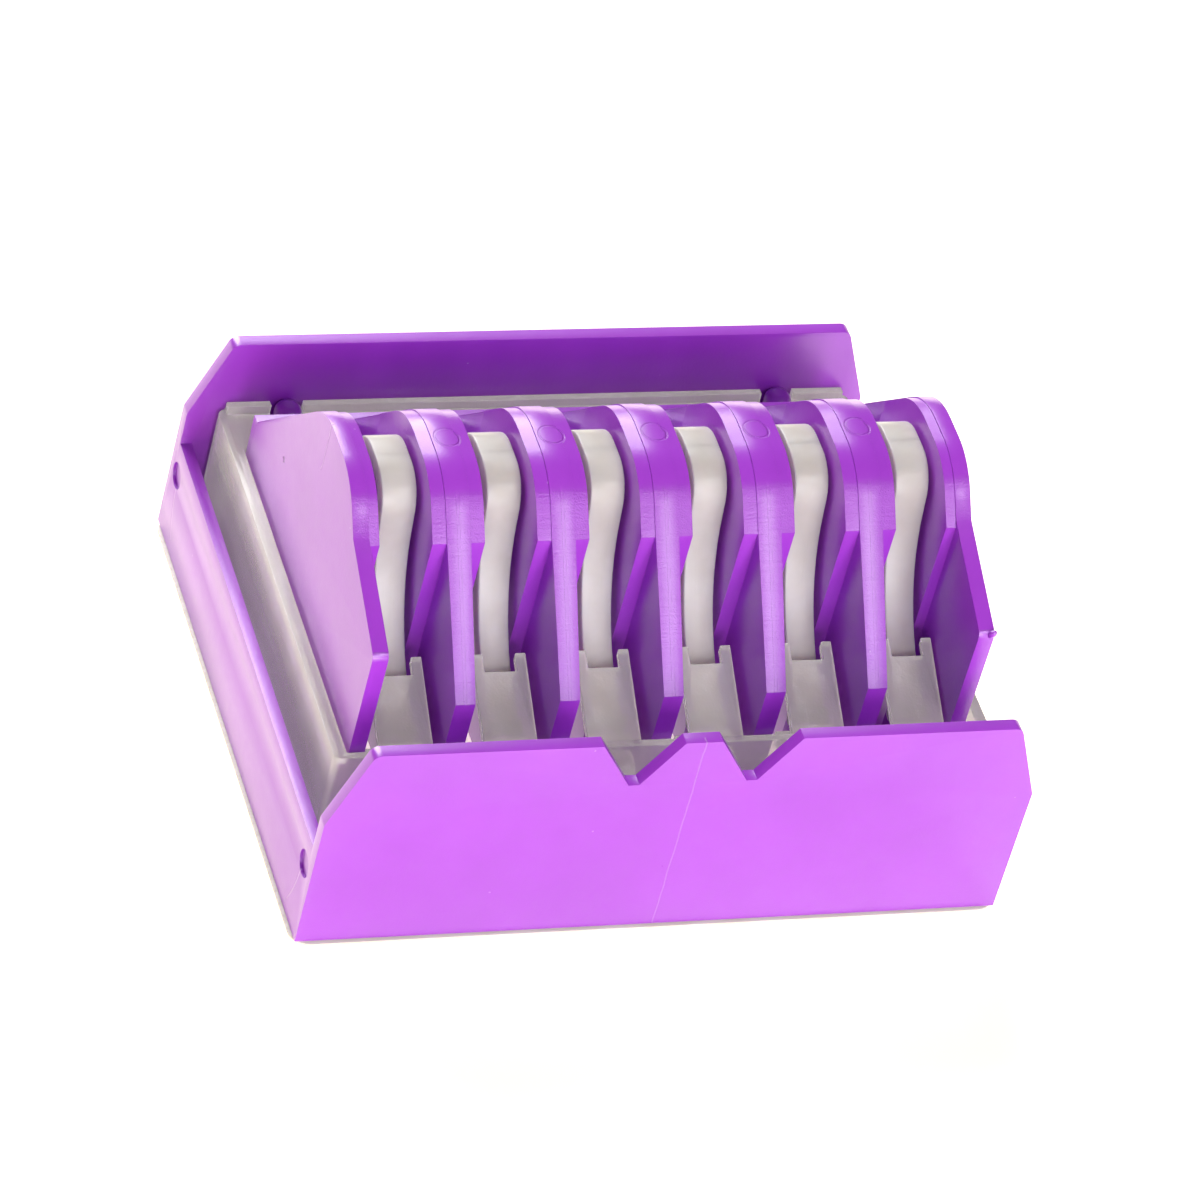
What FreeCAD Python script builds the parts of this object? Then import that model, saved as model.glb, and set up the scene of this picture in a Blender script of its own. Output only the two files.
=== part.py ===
import FreeCAD, Part
import math
import os

# Cartridge of locking clips. X runs along the row of clips, Y from the front wall to the
# back wall and Z up. The origin is on the centre of the underside. Everything is drawn with
# the rim of the tray at height zero, and set down on the release liner when it is saved.

# Tray: a shallow box with tall front and back walls.
side_room = 1.65
end_room = 3.75
tray_wall = 0.7
tray_side_wall = 0.6
end_height = 12.3
side_height = 5.8
chamfer_run = 1.7
chamfer_rise = 4.5
tray_corner = 0.5
pad_pocket = 0.8
floor_thickness = 1.0
floor_ledge = 2.4
notch_depth = 2.68
notch_flat = 0.56
notch_centre = 2.99
notch_inner_run = 1.78
notch_outer_run = 1.77
post_diameter = 1.4
post_spread = 26.1
dimple_diameter = 1.4
dimple_depth = 0.15
dimple_inset = 1.2
dimple_height = 4.1

# Rack: seven upright walls that part the clips, a rear web and an open base.
cell_count = 6
cell_pitch = 5.25
rack_half_depth = 10.3
rack_base = 1.0
wall_edge_thickness = 1.0
wall_middle_thickness = 1.2
shoulder_height = 11.0
back_shoulder_height = 10.6
crest_height = 18.75
crest_radius = 3.9
flange_width = 2.62
flange_half_depth = 4.85
flange_step = 0.08
end_wall_thickness = 0.8
end_shoulder_height = 14.4
end_knee_run = 2.1
end_shoulder_corner = 0.5
base_window_room = 1.0
web_thickness = 0.6
web_height = 10.5
base_bar = 1.8

# Insert: a flexible frame round the rack, with one springy tongue in front of each clip.
insert_height = 8.2
insert_plate = 0.6
insert_skirt = 0.4
insert_side_gap = 0.6
insert_shift = 0.25
insert_back_gap = 0.15
insert_back_lip = 0.5
insert_corner = 0.4
slip = 0.05
tongue_width = 2.7
tongue_thickness = 0.4
tongue_reach = 4.1
tongue_rise = 2.15
tongue_notch_depth = 0.8
ledge_height = 6.6
ledge_thickness = 0.6
ledge_reach = 1.8

# Clip: two curved legs on a thin hinge, each leg ending in a foot with a boss either side.
clip_offset = 0.25
leg_width = 1.4
leg_thickness = 0.85
leg_to_notch = 0.12
knuckle_radius = 0.75
hinge_half_gap = 1.7
hinge_height = 17.1
hinge_crown = 18.0
hinge_depth = 1.5
hinge_clearance = 0.15
neck_length = 2.45
neck_angle = 14.0
foot_angle = 58.0
leg_bend = 9.6
foot_length = 3.1
boss_radius = 0.38
boss_overhang = 0.22
boss_from_tip = 0.6
tip_notch = 0.6

# Pad and liner under the tray.
pad_proud = 0.08
pad_margin = 0.4
liner_thickness = 0.12
liner_overhang = 0.15
liner_corner = 1.0

# How far a cutting solid runs past the surface that it opens.
overshoot = 1.0

rim_height = liner_thickness + pad_proud
floor_top = pad_pocket + floor_thickness
row_half = cell_count * cell_pitch / 2
end_wall_x = row_half
side_inner = end_wall_x + side_room
back_inner = rack_half_depth + end_room
tray_width = 2 * (side_inner + tray_side_wall)
tray_depth = 2 * (back_inner + tray_wall)
web_back = rack_half_depth + web_thickness
crest_front = rack_half_depth - (crest_height - shoulder_height)


def point(y, z, x=0.0):
    return FreeCAD.Vector(x, y, z)


def block(x0, x1, y0, y1, z0, z1):
    return Part.makeBox(x1 - x0, y1 - y0, z1 - z0, FreeCAD.Vector(x0, y0, z0))


def along_x(outline, x0, x1):
    """Prism between x0 and x1 on an outline of (y, z) corners."""
    wire = Part.makePolygon([point(y, z, x0) for y, z in outline + outline[:1]])
    return Part.Face(wire).extrude(FreeCAD.Vector(x1 - x0, 0, 0))


def along_y(outline, y0, y1):
    """Prism between y0 and y1 on an outline of (x, z) corners."""
    wire = Part.makePolygon([point(y0, z, x) for x, z in outline + outline[:1]])
    return Part.Face(wire).extrude(FreeCAD.Vector(0, y1 - y0, 0))


def along_z(outline, z0, z1):
    """Prism between z0 and z1 on an outline of (x, y) corners."""
    wire = Part.makePolygon([point(y, z0, x) for x, y in outline + outline[:1]])
    return Part.Face(wire).extrude(FreeCAD.Vector(0, 0, z1 - z0))


def edges_along(shape, axis, test):
    """Straight edges that run along an axis and whose middle passes the test."""
    found = []
    for edge in shape.Edges:
        if len(edge.Vertexes) != 2:
            continue
        run = edge.Vertexes[1].Point - edge.Vertexes[0].Point
        if abs(run.dot(axis)) > 0.999 * run.Length and test(edge.CenterOfMass):
            found.append(edge)
    return found


def save(node, shape):
    shape = shape.removeSplitter()
    shape.translate(FreeCAD.Vector(0, 0, rim_height))
    shape.exportStep("parts/" + node + ".step")


X_AXIS = FreeCAD.Vector(1, 0, 0)
Y_AXIS = FreeCAD.Vector(0, 1, 0)
Z_AXIS = FreeCAD.Vector(0, 0, 1)


# The tray.
def tray_end_wall(y0):
    """Upright end wall with its two top corners cut off and rounded."""
    half = tray_width / 2
    knee = end_height - chamfer_rise
    outline = [(-half, 0), (half, 0), (half, knee), (half - chamfer_run, end_height),
               (chamfer_run - half, end_height), (-half, knee)]
    wall = along_y(outline, y0, y0 + tray_wall)
    top_corners = edges_along(wall, Y_AXIS, lambda p: p.z > knee / 2)
    return wall.makeFillet(tray_corner, top_corners)


def tray_shape():
    half = tray_width / 2
    front = -tray_depth / 2
    tray = tray_end_wall(front)
    tray = tray.fuse(tray_end_wall(-front - tray_wall))
    for side in (-1, 1):
        x0 = min(side * half, side * side_inner)
        tray = tray.fuse(block(x0, x0 + tray_side_wall, front, -front, 0, side_height))
    floor = block(-half, half, front, -front, pad_pocket, floor_top)
    window_x = end_wall_x - floor_ledge
    window_y = rack_half_depth - floor_ledge
    for side in (-1, 1):
        near, far = sorted((side * floor_ledge / 2, side * window_x))
        floor = floor.cut(block(near, far, -window_y, window_y, 0, floor_top + overshoot))
    tray = tray.fuse(floor)
    for side in (-1, 1):
        inner = side * (notch_centre - notch_flat / 2)
        outer = side * (notch_centre + notch_flat / 2)
        low = end_height - notch_depth
        spread = overshoot / notch_depth
        notch = [(inner, low), (outer, low),
                 (outer + side * notch_outer_run * (1 + spread), end_height + overshoot),
                 (inner - side * notch_inner_run * (1 + spread), end_height + overshoot)]
        tray = tray.cut(along_y(notch, front - overshoot, front + tray_wall + overshoot))
    post_y = back_inner - post_diameter / 2
    for side in (-1, 1):
        place = FreeCAD.Vector(side * post_spread / 2, post_y, floor_top - floor_thickness / 2)
        height = insert_height + post_diameter / 2 - place.z
        post = Part.makeCylinder(post_diameter / 2, height, place)
        dome = edges_at_height(post, place.z + height)
        tray = tray.fuse(post.makeFillet(post_diameter / 3, dome))
    for side in (-1, 1):
        for end in (-1, 1):
            y = end * (tray_depth / 2 - dimple_inset)
            place = FreeCAD.Vector(side * (half - dimple_depth), y, dimple_height)
            dimple = Part.makeCylinder(dimple_diameter / 2, overshoot, place, X_AXIS * side)
            tray = tray.cut(dimple)
    return tray


def edges_at_height(shape, z):
    """Closed edges whose every point is at one height."""
    return [e for e in shape.Edges if e.BoundBox.ZLength < 1e-6 and abs(e.BoundBox.ZMin - z) < 1e-6]


# The rack.
def wall_profile(front_corners):
    """Side view of a wall: an upright back, slopes of 45 degrees and a rounded crest. Its
    front goes down from the crest through the corners."""
    back = rack_half_depth - (crest_height - back_shoulder_height)
    outline = [(-rack_half_depth, floor_top), (rack_half_depth, floor_top),
               (rack_half_depth, back_shoulder_height), (back, crest_height),
               (-crest_front, crest_height)] + front_corners
    solid = along_x(outline, -flange_width, flange_width)
    crest = edges_along(solid, X_AXIS, lambda p: p.z > crest_height - 0.1)
    return solid.makeFillet(crest_radius, crest)


def inner_wall_profile():
    return wall_profile([(-rack_half_depth, shoulder_height)])


def end_wall_profile():
    """An end wall leaves the slope at a knee and keeps a higher, rounded shoulder."""
    knee = (-crest_front - end_knee_run, crest_height - end_knee_run)
    solid = wall_profile([knee, (-rack_half_depth, end_shoulder_height)])
    shoulder = edges_along(solid, X_AXIS, lambda p: p.y < -rack_half_depth + 0.1 and p.z > floor_top + 1)
    return solid.makeFillet(end_shoulder_corner, shoulder)


def wall_plan():
    """Plan of a wall, thinner towards its front and back edges."""
    edge = wall_edge_thickness / 2
    middle = wall_middle_thickness / 2
    reach = rack_half_depth
    start = flange_half_depth
    outline = [(-edge, -reach), (edge, -reach), (middle, -start), (middle, start), (edge, reach),
               (-edge, reach), (-middle, start), (-middle, -start)]
    return along_z(outline, floor_top, crest_height)


def rack_wall(profile, plan, x0, x1):
    """One wall: a thin plate cut to its plan, with a thick middle between x0 and x1."""
    thick = inner_wall_profile()
    thick.translate(FreeCAD.Vector(0, 0, -flange_step))
    deep = flange_half_depth
    thick = thick.common(block(x0, x1, -deep, deep, floor_top, crest_height))
    return profile.common(plan).fuse(thick)


def ramp(x, side, root, width):
    """Sloping tongue that runs inwards and up from its root, notched for the leg of a clip."""
    tip = root - tongue_reach
    drop = tongue_thickness * math.hypot(tongue_reach, tongue_rise) / tongue_reach
    outline = [(side * root, insert_height), (side * tip, insert_height + tongue_rise),
               (side * tip, insert_height + tongue_rise - drop),
               (side * root, insert_height - drop)]
    tongue = along_x(outline, x - width / 2, x + width / 2)
    gap = leg_width / 2 + leg_to_notch
    near, far = sorted((side * (tip - overshoot), side * (tip + tongue_notch_depth)))
    return tongue.cut(block(x - gap, x + gap, near, far, 0, crest_height))


def tip_ledge(x, side, root, width):
    """Short ledge under the foot of a clip."""
    near, far = sorted((side * root, side * (root - ledge_reach)))
    low = ledge_height - ledge_thickness
    return block(x - width / 2, x + width / 2, near, far, low, ledge_height)


def cell_centres():
    return [(n - (cell_count - 1) / 2) * cell_pitch for n in range(cell_count)]


def rack_shape():
    half = flange_width / 2
    base_top = floor_top + rack_base
    inner_wall = rack_wall(inner_wall_profile(), wall_plan(), -half, half)
    rack = block(-end_wall_x, end_wall_x, -rack_half_depth, web_back, floor_top, base_top)
    window_y = rack_half_depth - base_bar
    window_x = cell_pitch - flange_width + base_window_room
    for x in cell_centres():
        rack = rack.cut(block(x - window_x / 2, x + window_x / 2, -window_y, window_y,
                              floor_top - overshoot, base_top + overshoot))
    for n in range(1, cell_count):
        wall = inner_wall.copy()
        wall.translate(FreeCAD.Vector(n * cell_pitch - row_half, 0, 0))
        rack = rack.fuse(wall)
    for side in (-1, 1):
        x0, x1 = sorted((0, -side * end_wall_thickness))
        plan = block(x0, x1, -rack_half_depth, rack_half_depth, floor_top, crest_height)
        x0, x1 = sorted((0, -side * half))
        wall = rack_wall(end_wall_profile(), plan, x0, x1)
        wall.translate(FreeCAD.Vector(side * row_half, 0, 0))
        rack = rack.fuse(wall)
    rack = rack.fuse(block(-end_wall_x, end_wall_x, rack_half_depth, web_back, floor_top, web_height))
    for x in cell_centres():
        middle = x + clip_offset
        rack = rack.fuse(ramp(middle, 1, rack_half_depth, tongue_width))
        rack = rack.fuse(tip_ledge(middle, 1, rack_half_depth, tongue_width))
    return rack


# The insert.
def insert_shape():
    left = insert_shift + insert_side_gap - side_inner
    right = insert_shift + side_inner - insert_side_gap
    front = -rack_half_depth - slip - insert_skirt
    back = back_inner - insert_back_gap
    shell = block(left, right, front, back, floor_top, insert_height)
    rim = edges_along(shell, Z_AXIS, lambda p: True)
    shell = shell.makeFillet(insert_corner, rim)
    hollow = block(left + insert_skirt, right - insert_skirt, front + insert_skirt,
                   back - insert_skirt, floor_top - overshoot, insert_height - insert_plate)
    shell = shell.cut(hollow)
    opening = block(-end_wall_x - 2 * slip, end_wall_x + 2 * slip, -rack_half_depth - slip,
                    web_back + slip, floor_top, insert_height + overshoot)
    shell = shell.cut(opening)
    lip = block(left + insert_corner, right - insert_corner, back - insert_skirt, back,
                insert_height - insert_plate, insert_height + insert_back_lip)
    shell = shell.fuse(lip)
    for side in (-1, 1):
        place = FreeCAD.Vector(side * post_spread / 2, back_inner - post_diameter / 2, 0)
        radius = post_diameter / 2 + 3 * slip
        shell = shell.cut(Part.makeCylinder(radius, crest_height, place))
        slot = block(place.x - radius, place.x + radius, place.y, back_inner, 0, crest_height)
        shell = shell.cut(slot)
    root = rack_half_depth + slip
    for x in cell_centres():
        middle = x + clip_offset
        shell = shell.fuse(ramp(middle, -1, root, tongue_width))
        shell = shell.fuse(tip_ledge(middle, -1, root, tongue_width))
    return shell


# The clips.
def leg_outline(side):
    """Curved side view of a leg, from the hinge pin line down to the end of its foot."""
    half = leg_thickness / 2

    def across(angle):
        return math.cos(math.radians(angle)), math.sin(math.radians(angle))

    def down(angle):
        return math.sin(math.radians(angle)), -math.cos(math.radians(angle))

    def step(start, way, length):
        return start[0] + way[0] * length, start[1] + way[1] * length

    pin = (hinge_half_gap, hinge_height)
    neck = step(pin, down(neck_angle), neck_length)
    centre = step(neck, across(neck_angle), leg_bend)
    middle_angle = (neck_angle + foot_angle) / 2
    ankle = step(centre, across(foot_angle), -leg_bend)
    toe = step(ankle, down(foot_angle), foot_length)

    def at(place):
        return point(side * place[0], place[1])

    def edge_run(offset):
        bend = leg_bend - offset
        corners = [step(pin, across(neck_angle), offset), step(neck, across(neck_angle), offset),
                   step(centre, across(middle_angle), -bend), step(ankle, across(foot_angle), offset),
                   step(toe, across(foot_angle), offset)]
        return [at(c) for c in corners]

    outer = edge_run(half)
    inner = edge_run(-half)
    edges = [Part.makeLine(outer[0], outer[1]), Part.Arc(*outer[1:4]).toShape(),
             Part.makeLine(outer[3], outer[4]), Part.makeLine(outer[4], inner[4]),
             Part.makeLine(inner[4], inner[3]), Part.Arc(inner[3], inner[2], inner[1]).toShape(),
             Part.makeLine(inner[1], inner[0]), Part.makeLine(inner[0], outer[0])]
    return Part.Face(Part.Wire(edges)), at(pin), at(toe), at(step(toe, down(foot_angle), -boss_from_tip))


def leg_shape(x, side):
    face, pin, toe, boss = leg_outline(side)
    start = FreeCAD.Vector(x - leg_width / 2, 0, 0)
    face.translate(start)
    leg = face.extrude(X_AXIS * leg_width)
    leg = leg.fuse(Part.makeCylinder(knuckle_radius, leg_width, pin + start, X_AXIS))
    boss_half = leg_width / 2 + boss_overhang
    leg = leg.fuse(Part.makeCylinder(boss_radius, 2 * boss_half,
                                     boss + FreeCAD.Vector(x - boss_half, 0, 0), X_AXIS))
    tip = toe.y + side * overshoot
    low = toe.z - overshoot
    high = toe.z + overshoot
    if side < 0:
        catch = [(x - leg_width / 4, tip), (x, toe.y - side * tip_notch), (x + leg_width / 4, tip)]
        return leg.cut(along_z(catch, low, high))
    shoulder = toe.y - side * tip_notch / 3
    for hand in (-1, 1):
        corner = [(x + hand * leg_width, tip), (x + hand * leg_width, shoulder),
                  (x + hand * leg_width / 2, shoulder), (x + hand * leg_width / 6, tip)]
        leg = leg.cut(along_z(corner, low, high))
    return leg


def hinge_shape(x):
    deep = hinge_half_gap - knuckle_radius - hinge_clearance
    bar = block(x - leg_width / 2, x + leg_width / 2, -deep, deep,
                hinge_crown - hinge_depth, hinge_crown)
    crown = edges_along(bar, X_AXIS, lambda p: p.z > hinge_crown - 0.1)
    return bar.makeFillet(hinge_clearance, crown)


# The pad and the liner.
def pad_shape():
    half_x = side_inner - pad_margin
    half_y = back_inner - pad_margin
    return block(-half_x, half_x, -half_y, half_y, -pad_proud, pad_pocket)


def liner_shape():
    half_x = tray_width / 2 + liner_overhang
    half_y = tray_depth / 2 + liner_overhang
    liner = block(-half_x, half_x, -half_y, half_y, -pad_proud - liner_thickness, -pad_proud)
    return liner.makeFillet(liner_corner, edges_along(liner, Z_AXIS, lambda p: True))


os.makedirs("parts", exist_ok=True)
save("tray", tray_shape())
save("rack", rack_shape())
save("insert", insert_shape())
save("adhesive_pad", pad_shape())
save("release_liner", liner_shape())
for number, cell in enumerate(cell_centres(), start=1):
    name = "clip_" + str(number)
    save(name + "_hinge", hinge_shape(cell + clip_offset))
    save(name + "_front_leg", leg_shape(cell + clip_offset, -1))
    save(name + "_back_leg", leg_shape(cell + clip_offset, 1))
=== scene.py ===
import bpy
import bmesh
import math
from mathutils import Matrix, Vector


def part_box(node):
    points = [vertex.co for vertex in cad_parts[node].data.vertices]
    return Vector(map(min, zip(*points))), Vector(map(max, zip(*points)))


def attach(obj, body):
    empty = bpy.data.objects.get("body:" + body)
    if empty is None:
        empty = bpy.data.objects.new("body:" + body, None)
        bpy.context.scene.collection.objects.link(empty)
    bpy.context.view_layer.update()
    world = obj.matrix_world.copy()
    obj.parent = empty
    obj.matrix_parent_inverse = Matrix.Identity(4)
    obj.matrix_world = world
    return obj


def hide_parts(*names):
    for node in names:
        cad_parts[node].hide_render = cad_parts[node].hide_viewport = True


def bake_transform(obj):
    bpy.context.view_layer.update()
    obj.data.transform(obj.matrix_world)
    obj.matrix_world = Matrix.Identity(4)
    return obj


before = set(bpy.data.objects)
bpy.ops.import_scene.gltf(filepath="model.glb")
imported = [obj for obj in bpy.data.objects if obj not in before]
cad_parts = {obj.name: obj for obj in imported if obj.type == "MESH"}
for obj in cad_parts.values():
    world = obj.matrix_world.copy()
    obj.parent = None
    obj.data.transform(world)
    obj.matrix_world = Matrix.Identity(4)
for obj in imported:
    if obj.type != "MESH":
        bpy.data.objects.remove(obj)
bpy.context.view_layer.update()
mm = 0.001


# ---- Tray ----
# The outer tray, injection moulded in purple polypropylene. Its walls are 0.7 mm thick and
# their edges come out of the mould slightly round. Two flows of plastic meet in the middle
# of the front wall and leave a fine weld line there.

def pick(piece):
    """Selects one piece alone and makes it the active one."""
    bpy.ops.object.select_all(action="DESELECT")
    piece.select_set(True)
    bpy.context.view_layer.objects.active = piece


def join_into(piece):
    """Joins whatever is selected into a piece."""
    piece.select_set(True)
    bpy.context.view_layer.objects.active = piece
    bpy.ops.object.join()


def moulded_copy(node, name, rounding):
    """A copy of a CAD moulding with its triangles merged and its sharp edges rounded."""
    piece = bpy.data.objects.new(name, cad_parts[node].data.copy())
    bpy.context.scene.collection.objects.link(piece)
    piece.data.materials.clear()
    pick(piece)
    bpy.ops.object.mode_set(mode="EDIT")
    bpy.ops.mesh.select_all(action="SELECT")
    bpy.ops.mesh.remove_doubles(threshold=0.002 * mm)
    bpy.ops.mesh.dissolve_limited(angle_limit=math.radians(1.0))
    bpy.ops.object.mode_set(mode="OBJECT")
    round_edges(piece, rounding)
    return piece


def round_edges(piece, rounding, segments=3):
    """Rounds every sharp edge of a piece, then shades it smooth between the edges left."""
    pick(piece)
    bevel = piece.modifiers.new("rounding", "BEVEL")
    bevel.width = rounding
    bevel.segments = segments
    bevel.limit_method = "ANGLE"
    bevel.angle_limit = math.radians(28)
    bevel.miter_outer = "MITER_ARC"
    bpy.ops.object.modifier_apply(modifier=bevel.name)
    bpy.ops.object.shade_smooth_by_angle(angle=math.radians(32))


class Signal:
    """A shader value: Python sums on it add Math nodes to its material."""

    def __init__(self, finish, socket):
        self.finish = finish
        self.socket = socket

    def sum(self, operation, *others):
        inputs = dict(enumerate((self, *others)))
        return self.finish.node("ShaderNodeMath", {"operation": operation}, inputs)

    def __add__(self, other):
        return self.sum("ADD", other)

    def __sub__(self, other):
        return self.sum("SUBTRACT", other)

    def __rsub__(self, other):
        return self.finish.node("ShaderNodeMath", {"operation": "SUBTRACT"}, {0: other, 1: self})

    def __mul__(self, other):
        return self.sum("MULTIPLY", other)

    def size(self):
        return self.sum("ABSOLUTE")

    def above(self, limit):
        return self.sum("GREATER_THAN", limit)

    def below(self, limit):
        return self.sum("LESS_THAN", limit)

    def fade(self, low, high):
        """Runs smoothly from 0 at low to 1 at high."""
        settings = {"interpolation_type": "SMOOTHSTEP"}
        inputs = {"Value": self, "From Min": low, "From Max": high}
        return self.finish.node("ShaderNodeMapRange", settings, inputs)


class Finish:
    """A material that is built node by node."""

    def __init__(self, name):
        self.material = bpy.data.materials.new(name)
        self.material.use_nodes = True
        self.tree = self.material.node_tree
        self.tree.nodes.clear()

    def node(self, kind, settings=None, inputs=None, output=0):
        """Adds a node, sets or links its inputs and gives back one of its outputs."""
        node = self.tree.nodes.new(kind)
        for key, value in (settings or {}).items():
            setattr(node, key, value)
        for key, value in (inputs or {}).items():
            if isinstance(value, Signal):
                self.tree.links.new(value.socket, node.inputs[key])
            else:
                node.inputs[key].default_value = value
        return Signal(self, node.outputs[output])

    def place(self):
        """Object coordinates in millimetres: the vector, then its three parts."""
        metres = self.node("ShaderNodeTexCoord", output="Object")
        inputs = {0: metres, "Scale": 1 / mm}
        scaled = self.node("ShaderNodeVectorMath", {"operation": "SCALE"}, inputs)
        parts = [self.node("ShaderNodeSeparateXYZ", {}, {0: scaled}, axis) for axis in range(3)]
        return scaled, *parts

    def noise(self, vector, scale, detail=2.0):
        inputs = {"Vector": vector, "Scale": scale, "Detail": detail}
        return self.node("ShaderNodeTexNoise", {}, inputs)

    def stretched(self, vector, x, y, z):
        """Coordinates scaled along each axis, so that what they place is drawn out."""
        inputs = {0: vector, 1: (x, y, z)}
        return self.node("ShaderNodeVectorMath", {"operation": "MULTIPLY"}, inputs)

    def blend(self, factor, first, second):
        """The first colour at 0, the second at 1."""
        settings = {"data_type": "RGBA"}
        return self.node("ShaderNodeMix", settings, {0: factor, 6: first, 7: second}, 2)

    def specks(self, vector, spacing, radius):
        """Sparse round specks, 1 inside and 0 outside."""
        return self.cells(vector, 1 / spacing).below(radius / spacing)

    def cells(self, vector, scale):
        """Distance from the middle of the nearest of many scattered cells."""
        inputs = {"Vector": vector, "Scale": scale}
        return self.node("ShaderNodeTexVoronoi", {}, inputs, "Distance")

    def bump(self, height):
        """A surface relief from a height in millimetres."""
        return self.node("ShaderNodeBump", {}, {"Height": height, "Distance": mm, "Strength": 1.0})

    def surface(self, **sockets):
        """Ends the material in one Principled shader, with sockets given by name."""
        inputs = {key.replace("_", " "): value for key, value in sockets.items()}
        shader = self.node("ShaderNodeBsdfPrincipled", {}, inputs)
        end = self.tree.nodes.new("ShaderNodeOutputMaterial")
        self.tree.links.new(shader.socket, end.inputs["Surface"])
        return self.material


def put_material(piece, material):
    piece.data.materials.clear()
    piece.data.materials.append(material)


purple = (0.39, 0.048, 0.65, 1)
deep_purple = (0.35, 0.040, 0.59, 1)
# Paler purple for the pale moulding marks and dust, and also for the painted highlight on the
# rack's slopes.
pale_mark_and_highlight_purple = (0.66, 0.36, 0.84, 1)


def purple_plastic(name, marks, grain):
    """Satin purple polypropylene. marks(finish, vector, x, y, z) gives (colour mask, height)."""
    finish = Finish(name)
    vector, x, y, z = finish.place()
    cloud = finish.noise(vector, 0.16, 3.0).fade(0.25, 0.8)
    colour = finish.blend(cloud, deep_purple, purple)
    mask, height = marks(finish, vector, x, y, z)
    dust = finish.specks(vector, 2.6, 0.055)
    # Pale marks and dust lift the colour towards the paler purple. On the rack the mask also
    # paints a highlight on the sloping faces.
    colour = finish.blend(mask * 0.55 + dust * 0.35, colour, pale_mark_and_highlight_purple)
    skin = finish.noise(vector, 9.0, 3.0) * grain + finish.noise(vector, 1.1, 2.0) * 0.6
    rough = finish.noise(vector, 2.2, 4.0) * 0.12 + 0.25 + mask * 0.1
    relief = finish.bump(skin * 0.012 + height + dust * 0.02)
    sheen = finish.noise(vector, 0.7, 2.0) * 0.2 + 0.8
    return finish.surface(Base_Color=colour, Roughness=rough, Normal=relief, IOR=1.49,
                          Subsurface_Weight=0.08, Subsurface_Radius=(1.0, 0.35, 1.3),
                          Subsurface_Scale=0.6 * mm, Coat_Weight=sheen, Coat_Roughness=0.28)


tray_half_width = 18.0
tray_half_depth = 14.75
dimple_from_middle = 13.55
dimple_height = 4.3
crack_top = -0.6
crack_bottom = -3.4


def tray_marks(finish, vector, x, y, z):
    """The weld line down the front, hairline cracks by the gate dimples and drag lines."""
    wander = finish.noise(finish.stretched(vector, 0.3, 0.3, 0.5), 1.0) * 0.16 - 0.16
    front = y.below(0.35 - tray_half_depth)
    weld = (1 - (x + wander).size().fade(0.01, 0.06)) * front
    side = x.size().above(tray_half_width - 0.1)
    along = y.size() - dimple_from_middle
    up = z - dimple_height
    bend = (up * up * 0.07 + along + 0.25 + wander * 0.5).size()
    crack = (1 - bend.fade(0.02, 0.09)) * up.below(crack_top) * up.above(crack_bottom) * side
    drag = finish.noise(finish.stretched(vector, 2.4, 2.4, 0.05), 1.0, 3.0) * 0.25
    return weld * 0.5 + crack, weld * 0.02 - crack * 0.03 + drag * 0.012


tray = moulded_copy("tray", "outer_tray", 0.16 * mm)
put_material(tray, purple_plastic("tray_purple", tray_marks, 0.5))
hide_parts("tray")
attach(tray, "cartridge")


# ---- Rack ----
# One purple moulding: seven upright walls on an open base, joined at the back by a web. The
# mould's ejector pins leave a round mark on the crest of each inner wall, and its two halves
# meet along the middle of every wall's edge.

wall_pitch = 5.25
crest_height = 18.95
pin_radius = 0.62
pin_offset = 0.2
inner_walls_reach = 14.0
end_wall_x = 15.75
flash_line_y = 1.6
flash_line_foot = 16.0
pit_y = 5.9
pit_z = 12.3


def rack_marks(finish, vector, x, y, z):
    """Rings left by the ejector pins, the parting line, the spark-eroded slopes, which are also
    painted lighter as a highlight, and the flash line and the pit on the left end wall."""
    local = x.sum("PINGPONG", wall_pitch / 2)
    inner = x.size().below(inner_walls_reach)
    crest = z.above(crest_height - 0.5) * inner
    aside = (x - pin_offset).sum("PINGPONG", wall_pitch / 2)
    reach = (aside * aside + y * y).sum("SQRT")
    ring = (1 - (reach - pin_radius).size().fade(0.02, 0.08)) * crest
    inside = (1 - reach.fade(pin_radius - 0.05, pin_radius)) * crest
    edge = (1 - (local - 0.03).size().fade(0.02, 0.07)) * inner
    normal = finish.node("ShaderNodeTexCoord", output="Normal")
    tilt = finish.node("ShaderNodeSeparateXYZ", {}, {0: normal}, 2)
    slope = tilt.fade(0.45, 0.6) * (1 - tilt.fade(0.78, 0.86))
    spark_grain_and_highlight = finish.noise(vector, 14.0, 2.0)
    layers = finish.noise(finish.stretched(vector, 0.5, 5.0, 5.0), 1.2, 2.0)
    height = (spark_grain_and_highlight * 0.035 + layers * 0.03) * slope - ring * 0.05 - edge * slope * 0.025
    end_face = x.below(0.1 - end_wall_x)
    vein = finish.noise(finish.stretched(vector, 1.0, 2.0, 0.6), 1.0, 3.0) * 0.9
    flash = (1 - (y + vein - flash_line_y).size().fade(0.02, 0.1)) * end_face
    flash = flash * z.above(flash_line_foot)
    pit = (1 - ((y - pit_y).size() + (z - pit_z).size()).fade(0.08, 0.22)) * end_face
    # The colour mask paints a mottled highlight on the sloping faces. The pin centres and the
    # flash line are pale marks of the moulding itself.
    return slope * spark_grain_and_highlight * 0.35 + inside * 0.05 + flash * 0.7, height + flash * 0.05 - pit * 0.2


rack = moulded_copy("rack", "clip_rack", 0.09 * mm)

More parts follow.
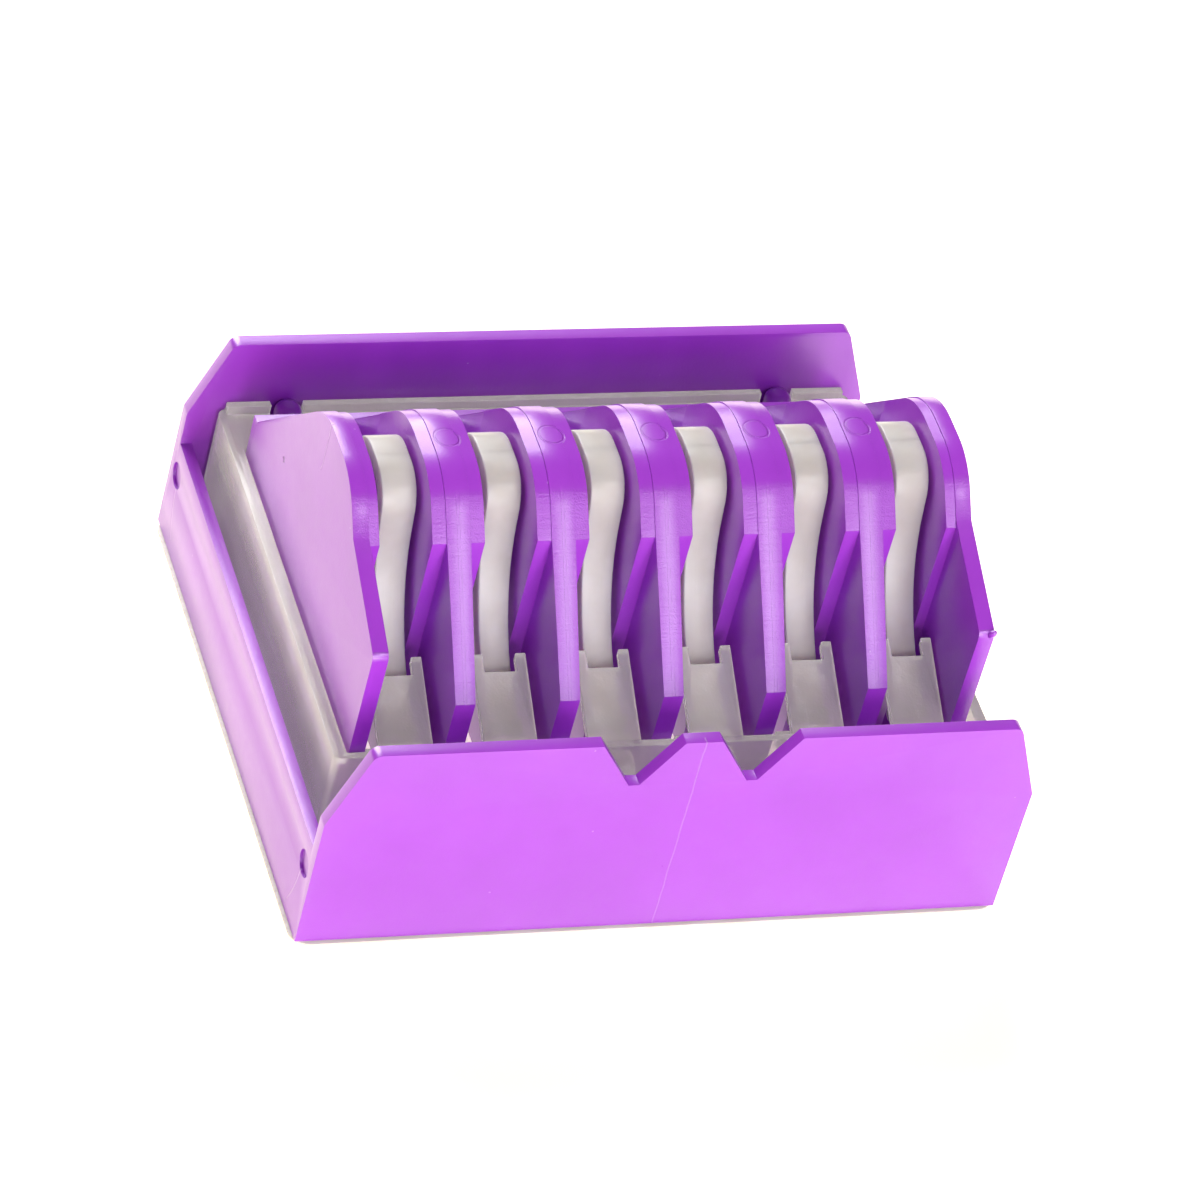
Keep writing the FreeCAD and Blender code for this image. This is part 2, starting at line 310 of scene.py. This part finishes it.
# A small lump of flash on the front shoulder of the right end wall.
lump_place = Vector((15.62, -10.22, 14.5)) * mm
lump_radius = 0.3 * mm
bpy.ops.object.select_all(action="DESELECT")
bpy.ops.mesh.primitive_ico_sphere_add(subdivisions=3, radius=lump_radius, location=lump_place,
                                      rotation=(0.5, 0.2, 0.3), scale=(0.7, 0.6, 1.15))
bpy.ops.object.transform_apply(location=True, rotation=True, scale=True)
bpy.ops.object.shade_smooth()
join_into(rack)
put_material(rack, purple_plastic("rack_purple", rack_marks, 0.7))
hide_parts("rack")
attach(rack, "cartridge")


# ---- Insert ----
# A springy frame round the rack, moulded in unpigmented polypropylene, so it is a milky
# translucent grey. One tongue slopes up in front of each clip, with a notch for its leg.

insert = moulded_copy("insert", "springy_insert", 0.07 * mm)
finish = Finish("natural_polypropylene")
vector = finish.place()[0]
cloud = finish.noise(vector, 0.3, 3.0).fade(0.3, 0.75)
colour = finish.blend(cloud, (0.80, 0.765, 0.72, 1), (0.88, 0.85, 0.81, 1))
flow = finish.noise(finish.stretched(vector, 1.6, 0.2, 1.6), 1.0, 3.0)
relief = finish.bump(flow * 0.02 + finish.noise(vector, 8.0) * 0.006)
rough = finish.noise(vector, 1.4, 3.0) * 0.08 + 0.12
# The faint emission is painted light: the insert glows a little, standing in for light that seeps
# through it.
polypropylene = finish.surface(Base_Color=colour, Roughness=rough, Normal=relief, IOR=1.49,
                               Subsurface_Weight=0.3, Subsurface_Radius=(1.2, 1.0, 0.9),
                               Subsurface_Scale=0.6 * mm, Transmission_Weight=0.76,
                               Emission_Color=colour, Emission_Strength=0.09)
put_material(insert, polypropylene)
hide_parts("insert")
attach(insert, "cartridge")


# ---- Foam pad and liner ----
# A cream foam tape fills the pocket under the tray and sticks the cartridge to a tray or a
# table. Until then a slip of release paper covers its glue. Both are die cut.

def die_cut(node, name, corner, rounding):
    """A flat sheet as large as its CAD solid, with round corners and soft edges."""
    low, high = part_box(node)
    centre = [(a + b) / 2 for a, b in zip(low, high)]
    size = [b - a for a, b in zip(low, high)]
    bpy.ops.object.select_all(action="DESELECT")
    bpy.ops.mesh.primitive_cube_add(size=1, location=centre, scale=size)
    piece = bpy.context.object
    piece.name = name
    bpy.ops.object.transform_apply(location=True, rotation=True, scale=True)
    bpy.ops.object.mode_set(mode="EDIT")
    bpy.ops.mesh.select_all(action="DESELECT")
    bpy.ops.mesh.select_mode(type="EDGE")
    shape = bmesh.from_edit_mesh(piece.data)
    for edge in shape.edges:
        a, b = edge.verts
        upright = abs(a.co.x - b.co.x) + abs(a.co.y - b.co.y) < 0.0001 * mm
        edge.select_set(upright)
    bmesh.update_edit_mesh(piece.data)
    bpy.ops.mesh.bevel(offset=corner, segments=6, affect="EDGES")
    bpy.ops.object.mode_set(mode="OBJECT")
    round_edges(piece, rounding, 2)
    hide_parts(node)
    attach(piece, "cartridge")
    return piece


pad = die_cut("adhesive_pad", "foam_pad", 0.8 * mm, 0.12 * mm)
finish = Finish("cream_foam")
vector = finish.place()[0]
cells = finish.cells(vector, 4.5)
colour = finish.blend(cells.fade(0.1, 0.7), (0.70, 0.62, 0.50, 1), (0.86, 0.80, 0.69, 1))
relief = finish.bump(cells * 0.06 + finish.noise(vector, 1.0) * 0.05)
# The strong emission is painted light: the foam glows, standing in for light that leaks through it
# from below.
foam = finish.surface(Base_Color=colour, Roughness=cells * 0.1 + 0.75, Normal=relief,
                      Subsurface_Weight=0.1, Subsurface_Scale=0.5 * mm,
                      Emission_Color=colour, Emission_Strength=0.9)
put_material(pad, foam)

liner = die_cut("release_liner", "release_paper", 1.0 * mm, 0.02 * mm)
finish = Finish("glazed_release_paper")
vector = finish.place()[0]
fibres = finish.noise(finish.stretched(vector, 0.6, 3.0, 3.0), 1.0, 4.0)
colour = finish.blend(fibres.fade(0.3, 0.7), (0.74, 0.69, 0.58, 1), (0.82, 0.78, 0.69, 1))
relief = finish.bump(fibres * 0.01)
paper = finish.surface(Base_Color=colour, Roughness=fibres * 0.15 + 0.35, Normal=relief,
                       Coat_Weight=0.2, Coat_Roughness=0.25)
put_material(liner, paper)


# ---- Clips ----
# Six locking clips of milky translucent acetal, each a strip bent over at a hinge. The front
# leg ends in a forked hook, the back leg in a point that the hook catches, and both have
# bosses for the applier's jaws. Each leg is a piece of its own, which takes half the hinge.

crown_width = 1.75 * mm
toe_width = 1.4 * mm
leg_thickness = 0.85 * mm
crown_height = 18.0 * mm
toe_height = 7.8 * mm
crown_flat = 0.55 * mm
crown_bend = 1.55 * mm
neck_angle = 14
neck_end = Vector((0, 2.36 * mm, 14.923 * mm))
long_bend = 9.6 * mm
foot_angle = 58
foot_length = 3.1 * mm
boss_radius = 0.38 * mm
boss_half = 0.92 * mm
boss_from_tip = 0.6 * mm
fork_depth = 0.6 * mm
rib_height = 0.1 * mm
rib_angle = 40
edge_rounding = 0.26 * mm
clip_count = 6


def leg_way(angle):
    """Direction down and outwards, at an angle from straight down, on the back half."""
    return Vector((0, math.sin(math.radians(angle)), -math.cos(math.radians(angle))))


def leg_across(angle):
    """Direction square to the leg, out of its outer face, on the back half."""
    return Vector((0, math.cos(math.radians(angle)), math.sin(math.radians(angle))))


def leg_stations():
    """Centre and direction of each cross-section from the hinge to the toe."""
    middle = Vector((0, 0, crown_height - leg_thickness / 2))
    turn = middle + Vector((0, crown_flat, -crown_bend))
    stations = [(middle + Vector((0, reach, 0)), 90) for reach in (crown_flat / 2, crown_flat)]
    for step in range(1, 8):
        angle = 90 - (90 - neck_angle) * step / 7
        stations.append((turn + leg_across(angle) * crown_bend, angle))
    last = stations[-1][0]
    for step in range(1, 4):
        stations.append((last.lerp(neck_end, step / 3), neck_angle))
    centre = neck_end + leg_across(neck_angle) * long_bend
    for step in range(1, 13):
        angle = neck_angle + (foot_angle - neck_angle) * step / 12
        stations.append((centre - leg_across(angle) * long_bend, angle))
    ankle = stations[-1][0]
    for step in range(1, 5):
        stations.append((ankle + leg_way(foot_angle) * foot_length * step / 4, foot_angle))
    return stations


def leg_width(place):
    """The leg is widest over the crown and narrows evenly to the toe."""
    rise = (place.z - toe_height) / (crown_height - toe_height)
    return toe_width + (crown_width - toe_width) * rise


def select_faces(piece, test):
    """Selects the faces whose centre and normal pass the test."""
    bpy.ops.mesh.select_all(action="DESELECT")
    bpy.ops.mesh.select_mode(type="FACE")
    shape = bmesh.from_edit_mesh(piece.data)
    for face in shape.faces:
        face.select_set(test(face.calc_center_median(), face.normal))
    bmesh.update_edit_mesh(piece.data)


def half_clip(name, toe_reach):
    """Back half of a clip in the middle of the rack, drawn out from the hinge to the toe.
    toe_reach moves the middle of the toe's end back along the leg, or out past its corners when
    negative."""
    stations = leg_stations()
    start = stations[0][0]
    bpy.ops.object.select_all(action="DESELECT")
    bpy.ops.mesh.primitive_cube_add(size=1, location=(0, start.y / 2, start.z),
                                    scale=(leg_width(start), start.y, leg_thickness))
    piece = bpy.context.object
    piece.name = name
    bpy.ops.object.transform_apply(location=True, rotation=True, scale=True)
    bpy.ops.object.mode_set(mode="EDIT")
    select_faces(piece, lambda centre, normal: normal.y > 0.9)
    for (here, angle), (there, turned) in zip(stations, stations[1:]):
        bpy.ops.mesh.extrude_region_move(TRANSFORM_OT_translate={"value": there - here})
        bpy.ops.transform.rotate(value=math.radians(angle - turned), orient_axis="X",
                                 center_override=there)
        narrowing = leg_width(there) / leg_width(here)
        bpy.ops.transform.resize(value=(narrowing, 1, 1), center_override=there)
    # The hinge is left open where the two halves meet, so that rounding leaves no seam there.
    select_faces(piece, lambda centre, normal: centre.y < 0.001 * mm)
    bpy.ops.mesh.delete(type="FACE")
    bpy.ops.mesh.select_all(action="SELECT")
    bpy.ops.mesh.bisect(plane_co=(0, 0, 0), plane_no=(1, 0, 0))
    toe = stations[-1][0]
    way = leg_way(foot_angle)
    bpy.ops.mesh.select_all(action="DESELECT")
    bpy.ops.mesh.select_mode(type="VERT")
    shape = bmesh.from_edit_mesh(piece.data)
    for vertex in shape.verts:
        vertex.select_set((vertex.co - toe).dot(way) > -0.01 * mm and abs(vertex.co.x) < 0.01 * mm)
    bmesh.update_edit_mesh(piece.data)
    bpy.ops.transform.translate(value=way * -toe_reach)
    grip_ribs(piece, stations)
    bpy.ops.object.mode_set(mode="OBJECT")
    round_edges(piece, edge_rounding, 4)
    return piece


def grip_ribs(piece, stations):
    """Low ribs across the inner face of the leg, which keep the vessel from slipping."""
    bend = [place for place, angle in stations if neck_angle < angle < foot_angle]
    inwards = leg_across(rib_angle) * leg_thickness / 2
    gaps = [(a + b) / 2 - inwards for a, b in zip(bend[::2], bend[1::2])]
    near = leg_thickness * 0.45
    select_faces(piece, lambda centre, normal: normal.y < -0.4 and any(
        (Vector((0, centre.y, centre.z)) - gap).length < near for gap in gaps))
    bpy.ops.mesh.inset(thickness=0.1 * mm, depth=rib_height)


def add_bosses(piece):
    """A round boss on both sides of the foot, in one bar through it."""
    at = leg_stations()[-1][0] - leg_way(foot_angle) * boss_from_tip
    bpy.ops.object.select_all(action="DESELECT")
    bpy.ops.mesh.primitive_cylinder_add(vertices=28, radius=boss_radius, depth=2 * boss_half,
                                        location=at, rotation=(0, math.pi / 2, 0))
    bar = bpy.context.object
    bpy.ops.object.transform_apply(location=True, rotation=True, scale=True)
    round_edges(bar, 0.08 * mm)
    join_into(piece)


def turn_to_front(piece):
    """Mirrors a back half into a front half."""
    pick(piece)
    bpy.ops.object.mode_set(mode="EDIT")
    bpy.ops.mesh.select_all(action="SELECT")
    bpy.ops.transform.resize(value=(1, -1, 1), center_override=(0, 0, 0))
    bpy.ops.mesh.normals_make_consistent(inside=False)
    bpy.ops.object.mode_set(mode="OBJECT")


front_half = half_clip("clip_front_half", fork_depth)
add_bosses(front_half)
turn_to_front(front_half)
back_half = half_clip("clip_back_half", -fork_depth * 0.6)
add_bosses(back_half)

finish = Finish("milky_acetal")
vector = finish.place()[0]
cloud = finish.noise(vector, 0.45, 3.0).fade(0.3, 0.7)
colour = finish.blend(cloud, (0.69, 0.65, 0.59, 1), (0.77, 0.735, 0.68, 1))
flow = finish.noise(finish.stretched(vector, 3.0, 0.35, 0.35), 1.0, 3.0)
relief = finish.bump(flow * 0.012 + finish.noise(vector, 5.0) * 0.003)
rough = finish.noise(vector, 1.1, 3.0) * 0.12 + 0.28
acetal = finish.surface(Base_Color=colour, Roughness=rough, Normal=relief, IOR=1.48,
                        Subsurface_Weight=0.6, Subsurface_Radius=(1.3, 1.1, 0.95),
                        Subsurface_Scale=0.8 * mm, Transmission_Weight=0.3)

for number in range(1, clip_count + 1):
    body = f"clip_{number}"
    low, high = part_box(f"{body}_hinge")
    middle = (low[0] + high[0]) / 2
    for half, end, side in ((front_half, "front", -1), (back_half, "back", 1)):
        piece = bpy.data.objects.new(f"{body}_{end}_half", half.data.copy())
        bpy.context.scene.collection.objects.link(piece)
        piece.data.transform(Matrix.Translation((middle, 0, 0)))
        put_material(piece, acetal)
        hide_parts(f"{body}_{end}_leg", f"{body}_hinge")
        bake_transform(piece)
bpy.data.objects.remove(front_half)
bpy.data.objects.remove(back_half)


# ---- Setting ----
# A plain white sweep under soft studio light, with the camera on a long lens, tilted a
# little, in front of the left corner.

bpy.ops.object.select_all(action="DESELECT")
bpy.ops.mesh.primitive_plane_add(size=6, location=(0, 0, -0.02 * mm))
floor = bpy.context.object
floor.name = "white_sweep"
finish = Finish("white_paper")
vector = finish.place()[0]
shade = finish.noise(vector, 0.02, 2.0) * 0.01 + 0.9
tint = finish.blend(shade, (0.90, 0.84, 0.71, 1), (1.0, 0.93, 0.78, 1))
white_paper = finish.surface(Base_Color=tint, Roughness=0.9, Emission_Color=tint,
                             Emission_Strength=0.62)
floor.data.materials.append(white_paper)

world = bpy.data.worlds.new("studio")
bpy.context.scene.world = world
world.use_nodes = True
background = world.node_tree.nodes["Background"]
background.inputs["Color"].default_value = (1, 0.95, 0.88, 1)
background.inputs["Strength"].default_value = 0.10


def soft_box(name, place, width, power):
    """A square area light turned towards the object."""
    light = bpy.data.lights.new(name, "AREA")
    light.size = width
    light.energy = power
    lamp = bpy.data.objects.new(name, light)
    lamp.location = place
    lamp.rotation_euler = (-Vector(place)).to_track_quat("-Z", "Y").to_euler()
    bpy.context.scene.collection.objects.link(lamp)


soft_box("key_light", (0.22, -0.43, 0.43), 0.15, 0.9)
soft_box("front_light", (0.02, -0.60, 0.20), 0.35, 3.4)
soft_box("back_light", (-0.10, 0.60, 0.40), 0.50, 8.0)

azimuth = math.radians(-26.335)
elevation = math.radians(41.106)
roll = math.radians(16.02)
forward = Vector((-math.sin(azimuth) * math.cos(elevation),
                  math.cos(azimuth) * math.cos(elevation), -math.sin(elevation)))
level = Vector((math.cos(azimuth), math.sin(azimuth), 0))
upright = level.cross(forward)
right = level * math.cos(roll) + upright * math.sin(roll)
up = upright * math.cos(roll) - level * math.sin(roll)
camera_place = Vector((-112.38, -226.80, 228.60)) * mm
turn = Matrix((right, up, -forward)).transposed().to_4x4()
camera = bpy.data.objects.new("camera", bpy.data.cameras.new("camera"))
bpy.context.scene.collection.objects.link(camera)
camera.matrix_world = Matrix.Translation(camera_place) @ turn
camera.data.sensor_width = 36
camera.data.lens = 204.96
camera.data.clip_start = 0.01
camera.data.clip_end = 20
bpy.context.scene.camera = camera
bpy.context.scene.view_settings.view_transform = "Standard"
